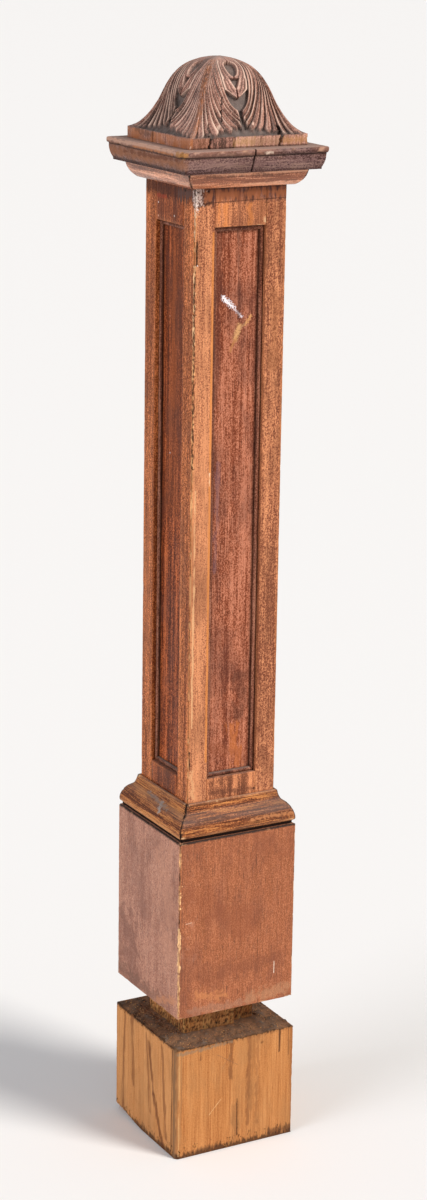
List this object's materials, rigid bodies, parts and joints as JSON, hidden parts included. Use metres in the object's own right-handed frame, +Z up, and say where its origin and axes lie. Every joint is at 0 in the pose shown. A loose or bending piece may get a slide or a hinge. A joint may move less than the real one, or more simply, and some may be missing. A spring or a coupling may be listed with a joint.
{
  "type": "newel post",
  "caption": "Square box newel post with sunk panels, moulded cap and base, a leaf-carved dome, and a shouldered pine foot block.",
  "frame": {"origin": "middle of the underside of the foot block", "axes": "+Z up the post, -Y out of the front face, -X out of the left face"},
  "size_m": [0.2088, 0.2088, 1.4757],
  "materials": {
    "pine": "bare sawn pine, stained by dirt and drips",
    "stained_oak": "old varnish over stained straight-grained wood, satin",
    "plinth_oak": "old varnish over red-brown stained wood, satin, scuffed",
    "red_panel": "old varnish over redder stained wood, satin",
    "dark_bead": "dark stained planted bead, dusty",
    "amber_oak": "amber varnish, dust in the quirks",
    "bed_oak": "stained and varnished, satin",
    "dark_oak": "dark stain, worn at the edges",
    "carved_oak": "dark stained carving, dust in the ground, worn high spots"
  },
  "bodies": {
    "root": {"base_mould_back": "amber_oak", "base_mould_front": "amber_oak", "base_mould_left": "amber_oak", "base_mould_right": "amber_oak", "bed_mould_back": "bed_oak", "bed_mould_front": "bed_oak", "bed_mould_left": "bed_oak", "bed_mould_right": "bed_oak", "cap_cornice": "dark_oak", "cap_dome": "carved_oak", "foot_block": "pine", "panel_bead_back_bottom": "dark_bead", "panel_bead_back_left": "dark_bead", "panel_bead_back_right": "dark_bead", "panel_bead_back_top": "dark_bead", "panel_bead_front_bottom": "dark_bead", "panel_bead_front_left": "dark_bead", "panel_bead_front_right": "dark_bead", "panel_bead_front_top": "dark_bead", "panel_bead_left_bottom": "dark_bead", "panel_bead_left_left": "dark_bead", "panel_bead_left_right": "dark_bead", "panel_bead_left_top": "dark_bead", "panel_bead_right_bottom": "dark_bead", "panel_bead_right_left": "dark_bead", "panel_bead_right_right": "dark_bead", "panel_bead_right_top": "dark_bead", "plinth_board_back": "plinth_oak", "plinth_board_front": "plinth_oak", "plinth_board_left": "plinth_oak", "plinth_board_right": "plinth_oak", "shaft_panel_back": "red_panel", "shaft_panel_front": "red_panel", "shaft_panel_left": "red_panel", "shaft_panel_right": "red_panel", "shaft_rail_back_bottom": "stained_oak", "shaft_rail_back_top": "stained_oak", "shaft_rail_front_bottom": "stained_oak", "shaft_rail_front_top": "stained_oak", "shaft_rail_left_bottom": "stained_oak", "shaft_rail_left_top": "stained_oak", "shaft_rail_right_bottom": "stained_oak", "shaft_rail_right_top": "stained_oak", "shaft_stile_back_left": "stained_oak", "shaft_stile_back_right": "stained_oak", "shaft_stile_front_left": "stained_oak", "shaft_stile_front_right": "stained_oak", "shaft_stile_left_left": "stained_oak", "shaft_stile_left_right": "stained_oak", "shaft_stile_right_left": "stained_oak", "shaft_stile_right_right": "stained_oak"}
  },
  "joints": []
}
